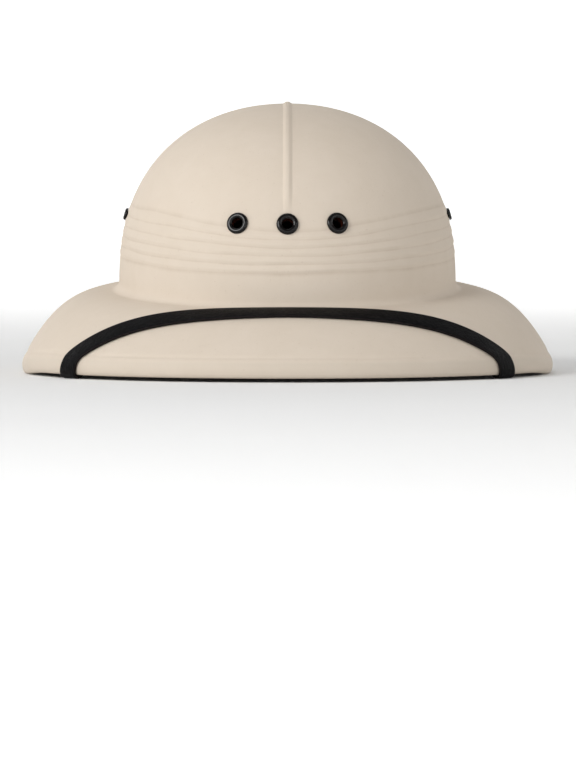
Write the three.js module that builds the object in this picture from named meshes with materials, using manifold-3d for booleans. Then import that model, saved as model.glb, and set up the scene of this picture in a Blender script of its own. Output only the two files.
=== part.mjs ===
// Pith helmet: a pressed-fibre sun helmet with eyelet vents, a chin strap and a hung headband.
// Millimetres, +Z up, front towards -Y. The helmet stands on its rim, and the origin is on the
// surface under the middle of the rim.

import * as THREE from 'three';
import { mergeVertices } from 'three/addons/utils/BufferGeometryUtils.js';
import Module from 'manifold-3d';

const wasm = await Module();
wasm.setup();

// Driving dimensions of the shell
const RIM_HALF_WIDTH = 156;
const RIM_HALF_LENGTH = 172;
const RIM_ROUNDNESS = 2.12;
const RIM_SHOULDER = { out: -1.2, up: 10 };
const WALL = 2.4;
const CROWN_HALF_WIDTH = 98.5;
const CROWN_HALF_LENGTH = 114;
const CROWN_ROUNDNESS = 2.05;
const CROWN_HEIGHT = 108;
const CROWN_BASE_HEIGHT = 49.5;
const CROWN_FORWARD = 14;
const CROWN_LEAN = THREE.MathUtils.degToRad(5.2);
const DOME_SHOULDER = 2.5;
const DOME_FULLNESS = 2.1;
const BASE_FILLET = 5;
const BRIM_CURVE_FRONT = 2.0;
const BRIM_CURVE_SIDE = 2.8;
const BRIM_SIDE_SHARPNESS = 8;

// Moulded folds of the wrap, measured up from the crown's base. They are closer at the front.
const FOLD_COUNT = 5;
const FOLD_START = 20.3;
const FOLD_PITCH_FRONT = 4.65;
const FOLD_PITCH_SIDE = 6.05;
const FOLD_FAN_ANGLE = THREE.MathUtils.degToRad(60);
const FOLD_DEPTH = 0.5;
const FOLD_EDGE = 0.36;
const FOLD_ROWS = [0.72, FOLD_EDGE, 0];

// Moulded ridge over the middle of the crown
const RIDGE_WIDTH = 5;
const RIDGE_RISE = 1.3;
const RIDGE_ROOT = 1.2;
const RIDGE_START = 55;
const RIDGE_STEPS = 34;
const RIDGE_TAPER_STEPS = 3;
const RIDGE_END_RISE = 0.1;
const RIDGE_SECTION = [
  { across: -1, rise: 0 },
  { across: -0.55, rise: 0.85 },
  { across: 0, rise: 1 },
  { across: 0.55, rise: 0.85 },
  { across: 1, rise: 0 },
];

// Rolled rim, as steps out from the rim oval and up from the surface
const RIM_ROLL = [
  { out: -0.4, up: 8.0 },
  { out: 0.0, up: 5.2 },
  { out: -0.3, up: 2.6 },
  { out: -1.1, up: 0.8 },
  { out: -2.2, up: 0.0 },
  { out: -4.4, up: 0.0 },
  { out: -5.6, up: 0.8 },
  { out: -6.2, up: 2.6 },
  { out: -5.9, up: 4.6 },
  { out: -5.0, up: 6.4 },
  { out: -4.4, up: 8.4 },
];

// Columns round the shell, and its rows from near the dome's top down the outside and back up inside
const AROUND = 52;
const DOME_ROWS = { from: 0.98, count: 12 };
const SMOOTH_BAND_ROW = 11;
const FILLET_ROWS = [0, 0.5, 1];
const BRIM_ROWS = [0.22, 0.4, 0.56, 0.7, 0.82, 0.92, 1];
const INNER_BRIM_ROWS = [0.9, 0.72, 0.5, 0.28];
const INNER_DOME_ROWS = { from: 0.08, to: 0.96, count: 9 };

// Chin strap
const STRAP_WIDTH = 13;
const STRAP_THICKNESS = 1.7;
const STRAP_GAP = 0.45;
const STRAP_BRIM_PLACE = 0.25;
const STRAP_RIM_ANGLE = THREE.MathUtils.degToRad(-40);
const STRAP_RIM_SLANT = 0.6;
const STRAP_RIM_START = 2;
const STRAP_RIM_LENGTH = 26;
const STRAP_TOUCH_BEND = THREE.MathUtils.degToRad(43);
const STRAP_TAB_ANGLE = THREE.MathUtils.degToRad(-18);
const STRAP_TAB_SLANT = 0.9;
const STRAP_TAB_START = -10;
const STRAP_TAB_END = 13;
const STRAP_SPREAD = { slow: 0.68, slowPower: 1.7, fast: 0.32, fastPower: 6 };
const STRAP_LEAVES_ROLL = [
  { out: -4.2, up: 0.0 },
  { out: -5.5, up: 0.6 },
  { out: -9.0, up: 3.1 },
  { out: -14.0, up: 6.8 },
  { out: -30.0, up: 18.6 },
];
const ROLL_ROWS_UNDER_STRAP = 5;
const GUIDE_SCALE = 100;
const STRAP_STATIONS = { brim: 12, rim: 12, free: 6, tab: 7, across: 5 };
const WALK_STEPS = 5;

// Headband and its leather strip
const BAND_BELOW = -16;
const BAND_ABOVE = 13;
const BAND_CLEARANCE = 2.7;
const BAND_FLARE = 2.2;
const BAND_FLARE_POWER = 1.5;
const BAND_WALL = 1.4;
const BAND_ROWS = 3;
const LEATHER_WALL = 1.3;
const LEATHER_MARGIN = 4.8;
const PIECE_GAP = 0.3;
const POST_RADIUS = 4;
const POST_HEIGHT = 7;
const POST_SIDES = 10;
const POSTS = [
  { name: 'band_post_front', angle: -Math.PI / 2 },
  { name: 'band_post_back', angle: Math.PI / 2 },
  { name: 'band_post_right', angle: THREE.MathUtils.degToRad(14) },
  { name: 'band_post_left', angle: THREE.MathUtils.degToRad(166) },
];

// The front of the rim is lifted by the strap that passes under it
const RIM_LIFT = 2.3;
const RIM_LIFT_POWER = 4;
const LIFT_FULL_ANGLE = THREE.MathUtils.degToRad(62);
const LIFT_END_ANGLE = THREE.MathUtils.degToRad(84);

// Eyelets, placed across the front and up from the crown's base. Their flanges clear the folds.
const FRONT_EYELET = { up: 47.5, seat: 0.7, flange: 6.2, hole: 2.9, barrel: 3.7, rise: 1.3 };
const SIDE_EYELET = { up: 44, seat: 0.8, flange: 3.6, hole: 1.5, barrel: 2.3, rise: 1.2 };
const VENT_SIDE_ANGLE = THREE.MathUtils.degToRad(-3);
const VENTS = [
  { name: 'vent_front_left', across: -27.6, side: 0, size: FRONT_EYELET },
  { name: 'vent_front_centre', across: 0, side: 0, size: FRONT_EYELET },
  { name: 'vent_front_right', across: 27.6, side: 0, size: FRONT_EYELET },
  { name: 'vent_side_left', across: 0, side: -1, size: SIDE_EYELET },
  { name: 'vent_side_right', across: 0, side: 1, size: SIDE_EYELET },
];
const VENT_SIDES = 12;
const VENT_INNER_RIM = 0.8;
const VENT_INNER_REACH = 1.2;
const VENT_GRIP = 3.9;
const VENT_DRILL_LENGTH = 20;
const VENT_ROLL = [
  { inwards: 0.1, rise: 0.55 },
  { inwards: 0.32, rise: 1 },
  { inwards: 0.68, rise: 1 },
  { inwards: 0.92, rise: 0.5 },
];

// Finishes
const FIBRE_TAN = new THREE.MeshStandardMaterial({ color: 0xd6c5ae, roughness: 0.8, metalness: 0 });
const EYELET_BLACK = new THREE.MeshStandardMaterial({ color: 0x17110f, roughness: 0.25, metalness: 0.3 });
const STRAP_BLACK = new THREE.MeshStandardMaterial({ color: 0x1c1a1c, roughness: 0.5, metalness: 0 });
const BAND_BLACK = new THREE.MeshStandardMaterial({ color: 0x161414, roughness: 0.6, metalness: 0 });
const LEATHER_BROWN = new THREE.MeshStandardMaterial({ color: 0x634832, roughness: 0.65, metalness: 0 });
const POST_BROWN = new THREE.MeshStandardMaterial({ color: 0x4a3a2c, roughness: 0.8, metalness: 0 });

const { sin, cos, abs, sign, PI } = Math;
const FRONT = -PI / 2;
const SMALL_STEP = 1e-3;
const MERGE_DISTANCE = 1e-4;
const vector = (x, y, z) => new THREE.Vector3(x, y, z);
const mix = THREE.MathUtils.lerp;
const middleOf = (ring) => ring.reduce((sum, p) => sum.add(p), vector(0, 0, 0)).divideScalar(ring.length);

// A point on an oval whose corners are a little fuller than an ellipse's
function oval(angle, halfWidth, halfLength, roundness) {
  const power = 2 / roundness;
  const c = cos(angle);
  const s = sin(angle);
  return {
    x: halfWidth * sign(c) * abs(c) ** power,
    y: halfLength * sign(s) * abs(s) ** power,
  };
}

// From the crown's own frame, which leans forward, to the helmet's frame
function fromCrown(x, y, up) {
  return vector(
    x,
    -CROWN_FORWARD + y * cos(CROWN_LEAN) - up * sin(CROWN_LEAN),
    CROWN_BASE_HEIGHT + y * sin(CROWN_LEAN) + up * cos(CROWN_LEAN),
  );
}

// How wide the dome is at a height, as a share of its base
function domeShare(up, height) {
  const share = Math.min(up / height, 1);
  return (1 - share ** DOME_SHOULDER) ** (1 / DOME_FULLNESS);
}

// How far round from the middle of the front an angle is, to either side
function fromFront(angle) {
  return abs(Math.atan2(sin(angle - FRONT), cos(angle - FRONT)));
}

function foldPitch(angle) {
  const fan = THREE.MathUtils.smoothstep(fromFront(angle), 0, FOLD_FAN_ANGLE);
  return mix(FOLD_PITCH_FRONT, FOLD_PITCH_SIDE, fan);
}

// A fold stands out near its lower edge and slopes back to tuck in under the next one
function foldRise(angle, up) {
  const place = (up - FOLD_START) / foldPitch(angle);
  if (place <= 0 || place >= FOLD_COUNT) return 0;
  const within = place - Math.floor(place);
  const rising = within / FOLD_EDGE;
  const falling = (1 - within) / (1 - FOLD_EDGE);
  return FOLD_DEPTH * sin(Math.min(rising, falling) * PI / 2);
}

function crownPoint(angle, up, inset = 0, folds = 0) {
  const share = domeShare(up, CROWN_HEIGHT - inset);
  const swell = folds * foldRise(angle, up) - inset;
  const p = oval(angle, CROWN_HALF_WIDTH + swell, CROWN_HALF_LENGTH + swell, CROWN_ROUNDNESS);
  return fromCrown(p.x * share, p.y * share, up);
}

function rimPoint(angle, out, up) {
  const p = oval(angle, RIM_HALF_WIDTH + out, RIM_HALF_LENGTH + out, RIM_ROUNDNESS);
  return vector(p.x, p.y, up);
}

// How far the rim is lifted: all of it at the front, none from the sides to the back
function rimLift(angle) {
  return RIM_LIFT * (1 - THREE.MathUtils.smoothstep(fromFront(angle), LIFT_FULL_ANGLE, LIFT_END_ANGLE));
}

// The brim's upper face runs from the crown's base (place 0) to the rim's shoulder (place 1)
function brimPoint(angle, place) {
  const base = crownPoint(angle, 0);
  const edge = rimPoint(angle, RIM_SHOULDER.out, RIM_SHOULDER.up);
  const sideness = cos(angle) ** BRIM_SIDE_SHARPNESS;
  const curve = mix(BRIM_CURVE_FRONT, BRIM_CURVE_SIDE, sideness);
  const drop = (base.z - edge.z) * place ** curve;
  const lift = rimLift(angle) * place ** RIM_LIFT_POWER;
  return vector(mix(base.x, edge.x, place), mix(base.y, edge.y, place), base.z - drop + lift);
}

// The way out from the crown's base, level
function outward(angle) {
  return brimPoint(angle, 1).sub(brimPoint(angle, 0)).setZ(0).normalize();
}

// A surface's normal at a point, from two small steps along it
function normalOf(surface, a, b) {
  const alongA = surface(a + SMALL_STEP, b).sub(surface(a - SMALL_STEP, b));
  const alongB = surface(a, b + SMALL_STEP).sub(surface(a, b - SMALL_STEP));
  return alongA.cross(alongB).normalize();
}

function brimInner(angle, place) {
  const down = normalOf(brimPoint, angle, place);
  if (down.z > 0) down.negate();
  return brimPoint(angle, place).addScaledVector(down, WALL);
}

// The rounded corner between crown and brim, from the leaning wall (turn 0) to the brim (turn 1)
function filletPoint(angle, turn, inset = 0) {
  const radius = BASE_FILLET + inset;
  const bend = turn * PI / 2;
  const out = BASE_FILLET - radius * cos(bend);
  const up = BASE_FILLET - radius * sin(bend);
  const p = oval(angle, CROWN_HALF_WIDTH + out, CROWN_HALF_LENGTH + out, CROWN_ROUNDNESS);
  const onWall = fromCrown(p.x, p.y, up);
  const onBrim = crownPoint(angle, 0).addScaledVector(outward(angle), out).add(vector(0, 0, up));
  return onWall.lerp(onBrim, turn);
}

function rollPoint(angle, row) {
  return rimPoint(angle, row.out, row.up + rimLift(angle));
}

// A closed skin through rings of equal length, with a point or a loop at the ends. The squares before
// mirrorRow are cut along their other diagonal, so that a mirrored half has mirrored faces.
function skin(rings, { start = null, end = null, loop = false, mirrorRow = 0 } = {}) {
  const around = rings[0].length;
  const positions = [];
  const faces = [];
  const push = (p) => positions.push(p.x, p.y, p.z) / 3 - 1;
  const ids = rings.map((ring) => ring.map(push));
  const spans = loop ? rings.length : rings.length - 1;
  for (let r = 0; r < spans; r++) {
    const upper = ids[r];
    const lower = ids[(r + 1) % rings.length];
    for (let i = 0; i < around; i++) {
      const j = (i + 1) % around;
      const [a, b, c, d] = [upper[i], lower[i], lower[j], upper[j]];
      if (r < mirrorRow) faces.push(a, b, d, b, c, d);
      else faces.push(a, b, c, a, c, d);
    }
  }
  const fan = (tip, ring) => {
    const id = push(tip);
    ring.forEach((v, i) => faces.push(id, v, ring[(i + 1) % around]));
  };
  if (start) fan(start, ids[0]);
  if (end) fan(end, [...ids[ids.length - 1]].reverse());
  if (signedVolume(positions, faces) < 0) faces.reverse();
  return meshFrom(positions, faces);
}

// Six times the volume that the faces enclose, below zero where they point in
function signedVolume(positions, faces) {
  const corner = (i) => vector(...positions.slice(3 * faces[i], 3 * faces[i] + 3));
  let sum = 0;
  for (let i = 0; i < faces.length; i += 3) {
    sum += corner(i).dot(corner(i + 1).cross(corner(i + 2)));
  }
  return sum;
}

function meshFrom(positions, faces) {
  const geometry = new THREE.BufferGeometry();
  geometry.setAttribute('position', new THREE.Float32BufferAttribute(positions, 3));
  geometry.setIndex(faces);
  return geometry;
}

function toSolid(geometry) {
  const bare = geometry.clone();
  for (const name of ['normal', 'uv']) bare.deleteAttribute(name);
  const merged = mergeVertices(bare, MERGE_DISTANCE);
  return new wasm.Manifold(new wasm.Mesh({
    numProp: 3,
    vertProperties: new Float32Array(merged.attributes.position.array),
    triVerts: new Uint32Array(merged.index.array),
  }));
}

function toGeometry(solid) {
  const mesh = solid.getMesh();
  return meshFrom([...mesh.vertProperties], [...mesh.triVerts]);
}

const angles = Array.from({ length: AROUND }, (_, i) => 2 * PI * i / AROUND);
const ringOf = (point) => angles.map(point);
const spread = (from, to, count) => Array.from({ length: count }, (_, i) => mix(from, to, i / (count - 1)));

// Crown heights at an angle, from near the top down: even steps round the dome, then the folds
function crownHeights(angle) {
  const pitch = foldPitch(angle);
  const foldTop = FOLD_START + FOLD_COUNT * pitch;
  const dome = spread(DOME_ROWS.from, Math.asin(foldTop / CROWN_HEIGHT) / (PI / 2), DOME_ROWS.count);
  const domeRows = dome.map((turn) => CROWN_HEIGHT * sin(turn * PI / 2));
  const foldRows = [];
  for (let fold = FOLD_COUNT - 1; fold >= 0; fold--) {
    for (const within of FOLD_ROWS) foldRows.push(FOLD_START + (fold + within) * pitch);
  }
  return [...domeRows, ...foldRows, SMOOTH_BAND_ROW];
}

function pressedShell() {
  const columns = angles.map((a) => crownHeights(a).map((up) => crownPoint(a, up, 0, 1)));
  const outer = [
    ...columns[0].map((_, row) => columns.map((column) => column[row])),
    ...FILLET_ROWS.map((turn) => ringOf((a) => filletPoint(a, turn))),
    ...BRIM_ROWS.map((place) => ringOf((a) => brimPoint(a, place))),
  ];
  const roll = RIM_ROLL.map((row) => ringOf((a) => rollPoint(a, row)));
  const innerTurns = spread(INNER_DOME_ROWS.from, INNER_DOME_ROWS.to, INNER_DOME_ROWS.count);
  const innerHeights = innerTurns.map((turn) => (CROWN_HEIGHT - WALL) * sin(turn * PI / 2));
  const inner = [
    ...INNER_BRIM_ROWS.map((place) => ringOf((a) => brimInner(a, place))),
    ...[...FILLET_ROWS].reverse().map((turn) => ringOf((a) => filletPoint(a, turn, WALL))),
    ...innerHeights.map((up) => ringOf((a) => crownPoint(a, up, WALL))),
  ];
  const top = fromCrown(0, 0, CROWN_HEIGHT);
  const innerTop = fromCrown(0, 0, CROWN_HEIGHT - WALL);
  return skin([...outer, ...roll, ...inner], { start: top, end: innerTop });
}

// The ridge is a low rounded bar that runs over the dome from front to back
function centreRidge() {
  const reach = Math.asin(RIDGE_START / CROWN_HEIGHT);
  const rings = spread(reach, PI - reach, RIDGE_STEPS).map((turn) => {
    const up = CROWN_HEIGHT * sin(turn);
    const share = domeShare(up, CROWN_HEIGHT) * CROWN_HALF_LENGTH;
    const along = turn < PI / 2 ? -share : share;
    return { along, up };
  });
  const sections = rings.map((row, i) => {
    const before = rings[Math.max(i - 1, 0)];
    const after = rings[Math.min(i + 1, rings.length - 1)];
    const run = new THREE.Vector2(after.along - before.along, after.up - before.up).normalize();
    const taper = Math.min(1, i / RIDGE_TAPER_STEPS, (rings.length - 1 - i) / RIDGE_TAPER_STEPS);
    const place = (across, rise) => fromCrown(across, row.along - run.y * rise, row.up + run.x * rise);
    const half = RIDGE_WIDTH / 2;
    const crest = mix(RIDGE_END_RISE, RIDGE_RISE, taper);
    const over = RIDGE_SECTION.map(({ across, rise }) => place(across * half, rise * crest));
    return [place(-half, -RIDGE_ROOT), ...over, place(half, -RIDGE_ROOT)];
  });
  return skin(sections, { start: middleOf(sections[0]), end: middleOf(sections[sections.length - 1]) });
}

// The angle round the crown where a height's ring is so far across
function angleAcross(across, up) {
  let low = FRONT;
  let high = FRONT + PI / 2;
  while (high - low > SMALL_STEP ** 2) {
    const middle = (low + high) / 2;
    if (crownPoint(middle, up).x < abs(across)) low = middle;
    else high = middle;
  }
  return across < 0 ? 2 * FRONT - low : low;
}

// Where an eyelet sits on the crown, with its own Z along the wall's normal
function ventPlace(vent) {
  const { up } = vent.size;
  const sideAngle = vent.side > 0 ? VENT_SIDE_ANGLE : PI - VENT_SIDE_ANGLE;
  const angle = vent.side === 0 ? angleAcross(vent.across, up) : sideAngle;
  const place = crownPoint(angle, up);
  const normal = normalOf(crownPoint, angle, up);
  const out = place.clone().sub(fromCrown(0, 0, up));
  if (normal.dot(out) < 0) normal.negate();
  const turn = new THREE.Quaternion().setFromUnitVectors(vector(0, 0, 1), normal);
  return new THREE.Matrix4().compose(place, turn, vector(1, 1, 1));
}

// A rolled eyelet: a domed flange outside, a barrel through the wall and a rim inside
function eyelet(vent) {
  const { seat, flange, hole, barrel, rise } = vent.size;
  const inside = -VENT_GRIP;
  const profile = [
    [hole, inside - VENT_INNER_RIM],
    [barrel + VENT_INNER_REACH, inside - VENT_INNER_RIM],
    [barrel + VENT_INNER_REACH, inside],
    [barrel, inside],
    [barrel, seat],
    [flange, seat],
    ...VENT_ROLL.map((row) => [mix(flange, hole, row.inwards), seat + row.rise * rise]),
    [hole, 0],
  ];
  const points = [...profile, profile[0]].map(([r, h]) => new THREE.Vector2(r, h));
  const lathe = new THREE.LatheGeometry(points, VENT_SIDES);
  lathe.rotateX(PI / 2);
  return toGeometry(toSolid(lathe)).applyMatrix4(ventPlace(vent));
}

function ventHole(vent) {
  const radius = vent.size.barrel + PIECE_GAP;
  const drill = new THREE.CylinderGeometry(radius, radius, VENT_DRILL_LENGTH, VENT_SIDES);
  drill.rotateX(PI / 2);
  return drill.applyMatrix4(ventPlace(vent));
}

function shell() {
  let solid = toSolid(pressedShell()).add(toSolid(centreRidge()));
  for (const vent of VENTS) solid = solid.subtract(toSolid(ventHole(vent)));
  return toGeometry(solid);
}

// The strap's guide outside: the brim (place 0 to 1), then round the roll and straight off it inwards
const guideRows = [RIM_SHOULDER, ...RIM_ROLL.slice(0, ROLL_ROWS_UNDER_STRAP), ...STRAP_LEAVES_ROLL];
const rollGuide = new THREE.SplineCurve(guideRows.map((row) => new THREE.Vector2(row.out, row.up)));
function outsidePoint(angle, place) {
  if (place <= 1) return brimPoint(angle, place);
  const row = rollGuide.getPointAt((place - 1) * GUIDE_SCALE / rollGuide.getLength());
  return rollPoint(angle, { out: row.x, up: row.y });
}

// The strap's guide inside: straight in to the corner (below 0), round the corner and up the wall
const cornerArc = (BASE_FILLET + WALL) * STRAP_TOUCH_BEND;
function insidePoint(angle, place) {
  const length = place * GUIDE_SCALE;
  const turnAt = (bend) => bend / (PI / 2);
  if (length < 0) {
    const touch = filletPoint(angle, turnAt(STRAP_TOUCH_BEND), WALL);
    const ahead = filletPoint(angle, turnAt(STRAP_TOUCH_BEND) - SMALL_STEP, WALL).sub(touch).normalize();
    return touch.addScaledVector(ahead, length);
  }
  if (length < cornerArc) {
    return filletPoint(angle, turnAt(STRAP_TOUCH_BEND * (1 - length / cornerArc)), WALL);
  }
  return crownPoint(angle, BASE_FILLET + length - cornerArc, WALL);
}

// Small steps along a surface, straight ahead in a direction that stays on it
function walk(surface, angle, place, direction, distance) {
  const across = 2 * SMALL_STEP;
  const heading = direction.clone();
  let a = angle;
  let p = place;
  for (let i = 0; i < WALK_STEPS; i++) {
    const alongA = surface(a + SMALL_STEP, p).sub(surface(a - SMALL_STEP, p)).divideScalar(across);
    const alongP = surface(a, p + SMALL_STEP).sub(surface(a, p - SMALL_STEP)).divideScalar(across);
    const aa = alongA.dot(alongA);
    const ap = alongA.dot(alongP);
    const pp = alongP.dot(alongP);
    const ha = heading.dot(alongA);
    const hp = heading.dot(alongP);
    const scale = distance / WALK_STEPS / (aa * pp - ap * ap);
    a += (ha * pp - hp * ap) * scale;
    p += (hp * aa - ha * ap) * scale;
    const away = awayFrom(surface, a, p);
    heading.addScaledVector(away, -heading.dot(away)).normalize();
  }
  return { a, p };
}

// The way off the shell from either of the two surfaces above
const awayFrom = (surface, a, p) => normalOf(surface, a, p).negate();

const strapAcross = spread(-STRAP_WIDTH / 2, STRAP_WIDTH / 2, STRAP_STATIONS.across);

// The strap's underface and outer face at one place, as one ring of points
function strapRing(pairs) {
  const raised = (height) => pairs.map(({ point, away }) => point.clone().addScaledVector(away, height));
  return [...raised(STRAP_GAP), ...raised(STRAP_GAP + STRAP_THICKNESS).reverse()];
}

// A station of the strap that lies on a surface, at one of the path's points
function laidStation(surface, path, i) {
  const here = path[i];
  const before = path[Math.max(i - 1, 0)];
  const after = path[Math.min(i + 1, path.length - 1)];
  const ahead = surface(after.a, after.p).sub(surface(before.a, before.p)).normalize();
  const away = awayFrom(surface, here.a, here.p);
  const side = away.clone().cross(ahead).normalize();
  const pairs = strapAcross.map((distance) => {
    const { a, p } = walk(surface, here.a, here.p, side, distance);
    return { point: surface(a, p), away: awayFrom(surface, a, p) };
  });
  return { centre: surface(here.a, here.p), away, side, pairs };
}

// The strap hangs straight between the rim and the inside corner, and turns evenly on the way
function freeStations(from, to, count) {
  return spread(0, 1, count + 2).slice(1, -1).map((share) => {
    const centre = from.centre.clone().lerp(to.centre, share);
    const side = from.side.clone().lerp(to.side, share).normalize();
    const run = to.centre.clone().sub(from.centre).normalize();
    const away = run.clone().cross(side).normalize();
    const pairs = strapAcross.map((distance) => ({
      point: centre.clone().addScaledVector(side, distance), away,
    }));
    return { centre, away, side, pairs };
  });
}

// The strap's path over the brim: close to the crown in front, then out to the rim
function brimPath() {
  const { slow, slowPower, fast, fastPower } = STRAP_SPREAD;
  return spread(0, PI / 2, STRAP_STATIONS.brim).map((turn) => ({
    a: mix(FRONT, STRAP_RIM_ANGLE, sin(turn)),
    p: mix(STRAP_BRIM_PLACE, 1, slow * sin(turn) ** slowPower + fast * sin(turn) ** fastPower),
  }));
}

// Both ends run on a slant: round the rim, and up the inside wall
function slantPath(angle, slant, radius, lengths) {
  return lengths.map((length) => ({
    a: angle + (length - lengths[0]) * slant / radius,
    p: length / GUIDE_SCALE,
  }));
}

function rimPath() {
  const lengths = spread(STRAP_RIM_START, STRAP_RIM_LENGTH, STRAP_STATIONS.rim);
  const path = slantPath(STRAP_RIM_ANGLE, STRAP_RIM_SLANT, RIM_HALF_LENGTH, lengths);
  return path.map(({ a, p }) => ({ a, p: 1 + p }));
}

function tabPath() {
  const lengths = spread(STRAP_TAB_START, STRAP_TAB_END, STRAP_STATIONS.tab);
  return slantPath(STRAP_TAB_ANGLE, STRAP_TAB_SLANT, CROWN_HALF_LENGTH, lengths);
}

function chinStrap() {
  const overBrim = [...brimPath(), ...rimPath()];
  const inside = tabPath();
  const laid = overBrim.map((_, i) => laidStation(outsidePoint, overBrim, i));
  const tab = inside.map((_, i) => laidStation(insidePoint, inside, i));
  const free = freeStations(laid[laid.length - 1], tab[0], STRAP_STATIONS.free);
  const right = [...laid, ...free, ...tab].map((station) => strapRing(station.pairs));
  const mirrored = (ring) => ring.map((p) => vector(-p.x, p.y, p.z));
  const rings = [...right.slice(1).reverse().map(mirrored), ...right];
  const mirrorRow = right.length - 1;
  return skin(rings, { start: middleOf(rings[0]), end: middleOf(rings[rings.length - 1]), mirrorRow });
}

// The headband follows the crown's inner wall and spreads a little below the crown
function bandPoint(angle, inset, up) {
  const share = domeShare(Math.max(up, 0), CROWN_HEIGHT - WALL);
  const spreadShare = THREE.MathUtils.clamp(up / BAND_BELOW, 0, 1);
  const out = BAND_FLARE * spreadShare ** BAND_FLARE_POWER - WALL - inset;
  const p = oval(angle, CROWN_HALF_WIDTH + out, CROWN_HALF_LENGTH + out, CROWN_ROUNDNESS);
  return fromCrown(p.x * share, p.y * share, up);
}

function bandRing(inset, wall, below, above) {
  const heights = spread(below, above, BAND_ROWS);
  const outerFace = heights.map((up) => ringOf((a) => bandPoint(a, inset, up)));
  const innerFace = heights.map((up) => ringOf((a) => bandPoint(a, inset + wall, up))).reverse();
  return skin([...outerFace, ...innerFace], { loop: true });
}

function bandPost(angle) {
  const length = BAND_CLEARANCE - 2 * PIECE_GAP;
  const post = new THREE.CylinderGeometry(POST_RADIUS, POST_RADIUS, length, POST_SIDES);
  const wall = (a, up) => crownPoint(a, up, WALL);
  const away = normalOf(wall, angle, POST_HEIGHT);
  const place = wall(angle, POST_HEIGHT);
  if (away.dot(fromCrown(0, 0, POST_HEIGHT).sub(place)) < 0) away.negate();
  const turn = new THREE.Quaternion().setFromUnitVectors(vector(0, 1, 0), away);
  place.addScaledVector(away, BAND_CLEARANCE / 2);
  return post.applyMatrix4(new THREE.Matrix4().compose(place, turn, vector(1, 1, 1)));
}

const helmet = new THREE.Group();
function addPiece(name, geometry, material) {
  const mesh = new THREE.Mesh(geometry, material);
  mesh.name = name;
  helmet.add(mesh);
}

addPiece('shell', shell(), FIBRE_TAN);
for (const vent of VENTS) addPiece(vent.name, eyelet(vent), EYELET_BLACK);
addPiece('chin_strap', chinStrap(), STRAP_BLACK);
addPiece('headband', bandRing(BAND_CLEARANCE, BAND_WALL, BAND_BELOW, BAND_ABOVE), BAND_BLACK);
const leatherInset = BAND_CLEARANCE + BAND_WALL + PIECE_GAP;
const leatherHeights = [BAND_BELOW + LEATHER_MARGIN, BAND_ABOVE - LEATHER_MARGIN];
addPiece('sweatband', bandRing(leatherInset, LEATHER_WALL, ...leatherHeights), LEATHER_BROWN);
for (const { name, angle } of POSTS) addPiece(name, bandPost(angle), POST_BROWN);

export default helmet;
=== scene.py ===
# %% [markdown]
# # A pith helmet
#
# A sun helmet of pressed fibre: a leaning crown with moulded folds and a centre ridge, a wide brim
# with a rolled rim, black eyelets, a chin strap and a hung headband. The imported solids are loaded
# first as a fixed frame. Each visible piece is then made finer than its solid, in the same place
# and from the same driving dimensions, so nothing has to be fitted afterwards.

# %% Load the frame
import math

import bmesh
import bpy
import numpy as np
from mathutils import Matrix, Vector


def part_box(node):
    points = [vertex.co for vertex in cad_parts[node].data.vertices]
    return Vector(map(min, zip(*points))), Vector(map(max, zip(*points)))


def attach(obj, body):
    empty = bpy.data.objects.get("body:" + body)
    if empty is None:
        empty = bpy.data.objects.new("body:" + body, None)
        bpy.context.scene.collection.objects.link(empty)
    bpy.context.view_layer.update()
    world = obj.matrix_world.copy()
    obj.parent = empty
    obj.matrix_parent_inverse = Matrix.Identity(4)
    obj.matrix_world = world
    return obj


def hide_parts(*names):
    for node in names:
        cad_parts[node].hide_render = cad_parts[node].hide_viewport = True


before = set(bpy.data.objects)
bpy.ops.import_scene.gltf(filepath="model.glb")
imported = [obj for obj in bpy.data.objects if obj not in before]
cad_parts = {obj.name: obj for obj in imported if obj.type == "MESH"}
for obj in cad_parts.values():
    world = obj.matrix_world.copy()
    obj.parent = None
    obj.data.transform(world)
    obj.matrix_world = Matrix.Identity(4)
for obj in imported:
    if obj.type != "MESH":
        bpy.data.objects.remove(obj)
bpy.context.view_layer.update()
MM = 0.001

# %% [markdown]
# ## The camera
#
# A long lens far away keeps the rim's oval nearly flat, as a product picture does. The camera looks
# at the front of the helmet from close over the floor. The aim point lies a little below the rim,
# which puts the helmet into the upper half of the upright picture. Aiming this way needs no lens
# shift, so the camera can be moved round the helmet for other views.

# %% Place the camera
PICTURE_WIDTH = 576
PIXELS_PER_MM = 1.7
CAMERA_DISTANCE = 2.5
CAMERA_ELEVATION = math.radians(2.2)
SENSOR_WIDTH = 36.0
AIM = Vector((0.0003, -0.008, -0.0069))

camera_data = bpy.data.cameras.new("camera")
camera_data.sensor_fit = "HORIZONTAL"
camera_data.sensor_width = SENSOR_WIDTH
camera_data.lens = SENSOR_WIDTH * PIXELS_PER_MM * CAMERA_DISTANCE / MM / PICTURE_WIDTH
camera = bpy.data.objects.new("camera", camera_data)
back = Vector((0, -math.cos(CAMERA_ELEVATION), math.sin(CAMERA_ELEVATION)))
camera.location = AIM + back * CAMERA_DISTANCE
camera.rotation_euler = back.to_track_quat("Z", "Y").to_euler()
bpy.context.scene.collection.objects.link(camera)
bpy.context.scene.camera = camera
print("lens in mm:", round(camera_data.lens, 1), "height in mm:", round(camera.location.z / MM))

# %% [markdown]
# ## The shader class
#
# A finish is a net of nodes, and arithmetic between nodes is hard to read when each one is wired by
# hand. One small class wraps a socket and gives it Python's operators, so a mask can be written as
# `1 - grain * 0.2`. Any other node comes from its `node` method: settings first, then the values or
# links of the sockets.


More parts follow.
